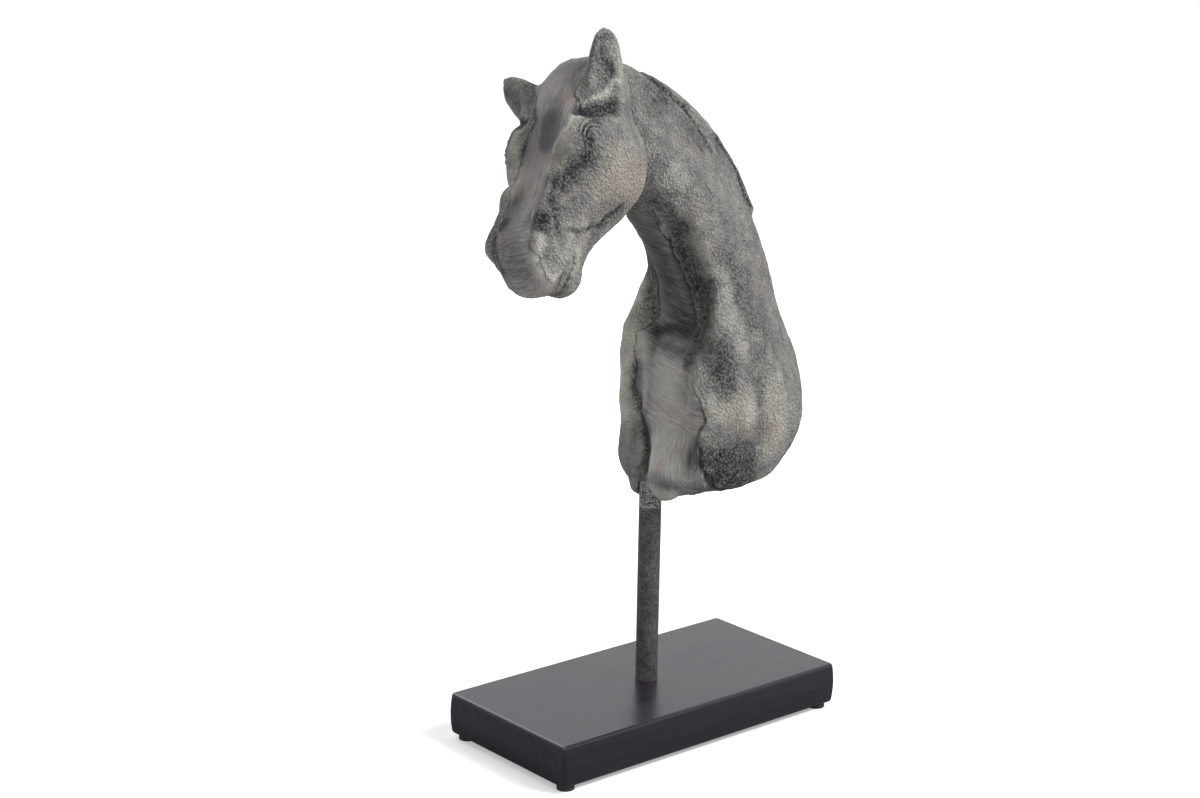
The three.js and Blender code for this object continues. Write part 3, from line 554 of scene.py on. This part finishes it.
cast, tree, shader = material("grey_cast")
place = object_place(tree)
wobble = noise(tree, place, 260, 3, 0.6)
strip_mm = maths(tree, "ADD", read(tree, "strip"), maths(tree, "MULTIPLY_ADD", wobble, 2.4, -1.2))
rubbed = eased(tree, strip_mm, -0.25, 0.25)

CELL_BEND = 2.4 * MM
cells = node(tree, "ShaderNodeTexVoronoi", feature="F1", inputs={"Scale": 500.0, "Randomness": 1.0})
bent = node(tree, "ShaderNodeVectorMath", operation="MULTIPLY_ADD")
jitter = node(tree, "ShaderNodeTexNoise", inputs={"Scale": 420.0, "Detail": 2.0})
joins(tree, (place, jitter.inputs["Vector"]), (jitter.outputs["Color"], bent.inputs[0]),
      (place, bent.inputs[2]), (bent.outputs[0], cells.inputs["Vector"]))
bent.inputs[1].default_value = (CELL_BEND, CELL_BEND, CELL_BEND)
leather = eased(tree, cells.outputs["Distance"], 0.85, 0.10)
speckle = noise(tree, place, 560, 4, 0.7)
mottle = noise(tree, place, 90, 4, 0.65, 0.4)
patches = noise(tree, place, 26, 3, 0.55)

# The tone of the rough skin; the dark attribute brings in the patina and the painted shade under the jaw
wear_and_shade = maths(tree, "MULTIPLY_ADD", read(tree, "pale"), 0.17, 0.475)
wear_and_shade = maths(tree, "MULTIPLY_ADD", read(tree, "dark"), -0.28, wear_and_shade)
wear_and_shade = shifted(tree, wear_and_shade, mottle, 0.55)
wear_and_shade = shifted(tree, wear_and_shade, patches, 0.30)
leather_share = maths(tree, "MULTIPLY_ADD", read(tree, "dark"), 0.20, 0.12)
speckle_share = maths(tree, "MULTIPLY_ADD", read(tree, "dark"), 0.44, 0.42)
wear_and_shade = shifted(tree, wear_and_shade, leather, leather_share, 0.55)
wear_and_shade = shifted(tree, wear_and_shade, speckle, speckle_share, 0.5, clamp=True)
rough_colour = ramp(tree, wear_and_shade, [
    (0.0, (0.018, 0.019, 0.021)), (0.20, (0.062, 0.063, 0.065)), (0.45, (0.175, 0.175, 0.168)),
    (0.70, (0.330, 0.325, 0.292)), (1.0, (0.520, 0.505, 0.450))])
blush = eased(tree, noise(tree, place, 30, 2, 0.5), 0.52, 0.70, 0.0, 0.25)
blush = maths(tree, "ADD", blush, read(tree, "pink"))
blush = maths(tree, "MULTIPLY", blush, eased(tree, read(tree, "dark"), 0.35, 0.0))
rough_colour = blend(tree, blush, rough_colour, (0.330, 0.280, 0.245))

scratches = noise(tree, read(tree, "brush", "Vector"), 1.7, 3, 0.75)
streaks = noise(tree, read(tree, "brush", "Vector"), 0.28, 3, 0.6)
# The tone of the rubbed strips, with the patina and painted shade of the dark attribute and the rim's painted
# shade line
polish_and_shade = maths(tree, "MULTIPLY_ADD", read(tree, "dark"), -0.48, 0.345)
polish_and_shade = maths(tree, "MULTIPLY_ADD", read(tree, "pale"), 0.44, polish_and_shade)
polish_and_shade = shifted(tree, polish_and_shade, scratches, 1.15)
nick = noise(tree, read(tree, "brush", "Vector"), 0.42, 2, 0.5)
nick = eased(tree, maths(tree, "ABSOLUTE", maths(tree, "SUBTRACT", nick, 0.60)), 0.012, 0.0)
polish_and_shade = maths(tree, "MULTIPLY_ADD", nick, 0.30, polish_and_shade)
polish_and_shade = shifted(tree, polish_and_shade, streaks, 0.16)
polish_and_shade = shifted(tree, polish_and_shade, mottle, 0.25)
# Painted shade: a dark line just inside the rim of each rubbed strip, under the step up to the rough skin,
# broken by the mottling
edge_gap = maths(tree, "ABSOLUTE", maths(tree, "SUBTRACT", strip_mm, 0.35))
edge_shade_line = maths(tree, "MULTIPLY", eased(tree, edge_gap, 0.9, 0.1), eased(tree, mottle, 0.38, 0.62))
polish_and_shade = maths(tree, "MULTIPLY_ADD", edge_shade_line, -0.38, polish_and_shade, clamp=True)
smooth_colour = ramp(tree, polish_and_shade, [
    (0.0, (0.013, 0.014, 0.016)), (0.15, (0.052, 0.053, 0.056)), (0.35, (0.105, 0.104, 0.104)),
    (0.52, (0.180, 0.175, 0.168)), (0.80, (0.310, 0.303, 0.285)), (1.0, (0.42, 0.41, 0.38))])
warm = eased(tree, noise(tree, place, 34, 3, 0.6), 0.50, 0.70, 0.0, 0.42)
warm = maths(tree, "MULTIPLY", warm, eased(tree, read(tree, "dark"), 0.5, 0.1))
smooth_colour = blend(tree, warm, smooth_colour, (0.220, 0.172, 0.150))
skin_colour = blend(tree, rubbed, rough_colour, smooth_colour)
rust = maths(tree, "MULTIPLY", read(tree, "rust"), eased(tree, speckle, 0.42, 0.58))
joins(tree, (blend(tree, rust, skin_colour, (0.330, 0.190, 0.105)), shader.inputs["Base Color"]))

unworn = maths(tree, "MULTIPLY_ADD", read(tree, "pale"), -0.28, 1.0)
rough_height = maths(tree, "MULTIPLY_ADD", leather, 1.7, maths(tree, "MULTIPLY", speckle, 3.2))
rough_height = maths(tree, "MULTIPLY", rough_height, unworn)
smooth_height = maths(tree, "MULTIPLY_ADD", scratches, 0.10, -0.10)
step_down = maths(tree, "SUBTRACT", smooth_height, rough_height)
height_mm = maths(tree, "MULTIPLY_ADD", step_down, rubbed, rough_height)
bump = node(tree, "ShaderNodeBump", inputs={"Strength": 1.0, "Distance": 1.0 * MM})
joins(tree, (height_mm, bump.inputs["Height"]), (bump.outputs["Normal"], shader.inputs["Normal"]))
sheen = maths(tree, "MULTIPLY_ADD", rubbed, -0.28, maths(tree, "MULTIPLY_ADD", speckle, 0.15, 0.72))
joins(tree, (maths(tree, "MULTIPLY_ADD", scratches, 0.12, sheen), shader.inputs["Roughness"]))
shader.inputs["Specular IOR Level"].default_value = 0.22
finish(bust, cast)
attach(bust, "root")
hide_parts("horse_head")

# The rod: a round steel bar, blackened, with cloudy wear, a brownish bloom low down and a bright band at its
# top. It stands in the block and goes up into the bust. The CAD node stays and gets this finish.

BAND_HIGH = 3.0 * MM
BAND_SOFT = 0.5 * MM
BLOOM_FROM = 75 * MM
BLOOM_FULL = 40 * MM
steel, tree, shader = material("rod_steel")
place = object_place(tree)
clouds = noise(tree, place, 130, 5, 0.7, 0.3)
fine = noise(tree, place, 760, 3, 0.7)
shade = maths(tree, "MULTIPLY_ADD", fine, 0.9, maths(tree, "MULTIPLY_ADD", clouds, 0.45, -0.205), clamp=True)
steel_colour = ramp(tree, shade, [
    (0.25, (0.018, 0.018, 0.019)), (0.5, (0.070, 0.070, 0.071)), (0.8, (0.190, 0.190, 0.188))])
up = node(tree, "ShaderNodeSeparateXYZ")
joins(tree, (place, up.inputs[0]))
near_top = eased(tree, up.outputs["Z"], bust_base[2] - BAND_HIGH, bust_base[2] - BAND_SOFT)
band = maths(tree, "MULTIPLY", near_top, eased(tree, fine, 0.44, 0.58, 0.0, 0.9))
steel_colour = blend(tree, band, steel_colour, (0.30, 0.30, 0.29))
low_down = eased(tree, up.outputs["Z"], BLOOM_FROM, BLOOM_FULL)
bloom = maths(tree, "MULTIPLY", low_down, eased(tree, clouds, 0.48, 0.62, 0.0, 0.40))
steel_colour = blend(tree, bloom, steel_colour, (0.105, 0.080, 0.065))
shader.inputs["Metallic"].default_value = 0.5
bump = node(tree, "ShaderNodeBump", inputs={"Strength": 0.6, "Distance": 0.2 * MM})
joins(tree, (steel_colour, shader.inputs["Base Color"]), (fine, bump.inputs["Height"]),
      (bump.outputs["Normal"], shader.inputs["Normal"]),
      (eased(tree, clouds, 0.3, 0.7, 0.42, 0.62), shader.inputs["Roughness"]))
finish(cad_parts["rod"], steel)

# The block: wood, stained black and satin varnished, with small round edges and its grain along its length.
# The rod is let into its top. The CAD node stays and gets this finish.

wood, tree, shader = material("black_wood")
place = object_place(tree)
stretch = node(tree, "ShaderNodeMapping", inputs={"Scale": (1.0, 0.05, 1.0)})
joins(tree, (place, stretch.inputs["Vector"]))
grain = noise(tree, stretch.outputs["Vector"], 420, 4, 0.6, 0.2)
broad = noise(tree, stretch.outputs["Vector"], 60, 3, 0.6, 0.4)
depth = maths(tree, "MULTIPLY_ADD", grain, 0.5, maths(tree, "MULTIPLY", broad, 0.5), clamp=True)
wood_colour = ramp(tree, depth, [(0.30, (0.0042, 0.0034, 0.0050)), (0.62, (0.0110, 0.0088, 0.0128))])
bump = node(tree, "ShaderNodeBump", inputs={"Strength": 0.35, "Distance": 0.08 * MM})
joins(tree, (wood_colour, shader.inputs["Base Color"]), (grain, bump.inputs["Height"]),
      (bump.outputs["Normal"], shader.inputs["Normal"]),
      (eased(tree, depth, 0.3, 0.7, 0.24, 0.34), shader.inputs["Roughness"]))
shader.inputs["Specular IOR Level"].default_value = 0.44
shader.inputs["Specular Tint"].default_value = (0.93, 0.88, 1.0, 1)
finish(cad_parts["base_block"], wood)

# The feet: four round rubber pads, black and matt, each stuck under a corner of the block. The CAD nodes stay
# and get this finish.

rubber, tree, shader = material("pad_rubber")
dust = noise(tree, object_place(tree), 500, 3, 0.6)
rubber_colour = ramp(tree, dust, [(0.3, (0.012, 0.012, 0.013)), (0.7, (0.024, 0.024, 0.025))])
joins(tree, (rubber_colour, shader.inputs["Base Color"]),
      (eased(tree, dust, 0.3, 0.7, 0.72, 0.9), shader.inputs["Roughness"]))
for name in ("foot_front_left", "foot_front_right", "foot_back_left", "foot_back_right"):
    finish(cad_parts[name], rubber)

# The stage: a white floor that meets a white surround, and four large soft lights. The camera stands where the
# photograph's did.

FLOOR_SIZE = 6.0
GLOW_FROM = 0.25
GLOW_FULL = 0.75
bpy.ops.object.select_all(action="DESELECT")
bpy.ops.mesh.primitive_plane_add(size=FLOOR_SIZE, location=(0, 0, 0))
floor = bpy.context.active_object
floor.name = "floor"
paper, tree, shader = material("white_paper")
tooth = noise(tree, object_place(tree), 40, 2)
white = ramp(tree, tooth, [(0.0, (0.70, 0.70, 0.70)), (1.0, (0.72, 0.72, 0.72))])
seen = node(tree, "ShaderNodeLightPath")
mirrored = maths(tree, "MULTIPLY", seen.outputs["Is Glossy Ray"], 0.75)
joins(tree, (blend(tree, mirrored, white, (0.05, 0.05, 0.05)), shader.inputs["Base Color"]))
shader.inputs["Roughness"].default_value = 0.9
shader.inputs["Emission Color"].default_value = (1.0, 1.0, 1.0, 1)
far_off = node(tree, "ShaderNodeVectorMath", operation="LENGTH")
joins(tree, (object_place(tree), far_off.inputs[0]))
glow = eased(tree, far_off.outputs["Value"], GLOW_FROM, GLOW_FULL, 0.33, 0.92)
glow = maths(tree, "MULTIPLY", glow, seen.outputs["Is Camera Ray"])
joins(tree, (maths(tree, "ADD", glow, 0.04), shader.inputs["Emission Strength"]))
floor.data.materials.append(paper)

world = bpy.data.worlds.new("surround")
world.use_nodes = True
tree = world.node_tree
around = tree.nodes["Background"]
around.inputs["Color"].default_value = (1.0, 1.0, 1.0, 1)
seen = node(tree, "ShaderNodeLightPath")
strength = maths(tree, "MULTIPLY_ADD", seen.outputs["Is Camera Ray"], 0.84, 0.18)
strength = maths(tree, "MULTIPLY_ADD", seen.outputs["Is Glossy Ray"], 1.05, strength)
joins(tree, (strength, around.inputs["Strength"]))
bpy.context.scene.world = world
bpy.context.scene.view_settings.view_transform = "Standard"

# Angles in degrees and lengths in metres, as fitted to the block's corners and the rod in the photograph
CAMERA_AZIMUTH = 49.54
CAMERA_RISE = 14.62
CAMERA_ROLL = 0.99
CAMERA_AWAY = 1.5975
CAMERA_ASIDE = -0.0356
CAMERA_UP = 0.0011
TARGET_HEIGHT = 0.233
FOCAL_PIXELS = 2359.1
IMAGE_PIXELS = 1200
SENSOR_MM = 36.0

azimuth, rise, roll = (math.radians(angle) for angle in (CAMERA_AZIMUTH, CAMERA_RISE, CAMERA_ROLL))
back = Vector((math.sin(azimuth) * math.cos(rise), -math.cos(azimuth) * math.cos(rise), math.sin(rise)))
level_right = Vector((0, 0, 1)).cross(back).normalized()
level_up = back.cross(level_right)
right = level_right * math.cos(roll) + level_up * math.sin(roll)
above = level_up * math.cos(roll) - level_right * math.sin(roll)
target = Vector((rod_middle[0], rod_middle[1], TARGET_HEIGHT))
eye = target + back * CAMERA_AWAY + right * CAMERA_ASIDE + above * CAMERA_UP


def soft_light(name, place, towards, width, watts):
    lamp = bpy.data.lights.new(name, "AREA")
    lamp.shape = "RECTANGLE"
    lamp.size = width
    lamp.size_y = width
    lamp.energy = watts
    light = bpy.data.objects.new(name, lamp)
    turned = (place - towards).to_track_quat("Z", "Y").to_matrix().to_4x4()
    light.matrix_world = Matrix.Translation(place) @ turned
    bpy.context.collection.objects.link(light)


middle = Vector((0, 0, 0.28))
soft_light("key", middle + Vector((1.0, 0.60, 0.95)), middle, 0.7, 37)
soft_light("fill", middle + Vector((0.5, -1.4, 0.7)), middle, 1.0, 7)
soft_light("side", middle + Vector((-1.15, -0.2, 0.75)), middle, 0.8, 8)
soft_light("top", middle + Vector((-0.4, 0.2, 1.4)), middle, 1.2, 6)

lens = bpy.data.cameras.new("camera")
lens.sensor_width = SENSOR_MM
lens.lens = FOCAL_PIXELS / IMAGE_PIXELS * SENSOR_MM
camera = bpy.data.objects.new("camera", lens)
camera.matrix_world = Matrix.Translation(eye) @ Matrix((right, above, back)).transposed().to_4x4()
bpy.context.collection.objects.link(camera)
bpy.context.scene.camera = camera
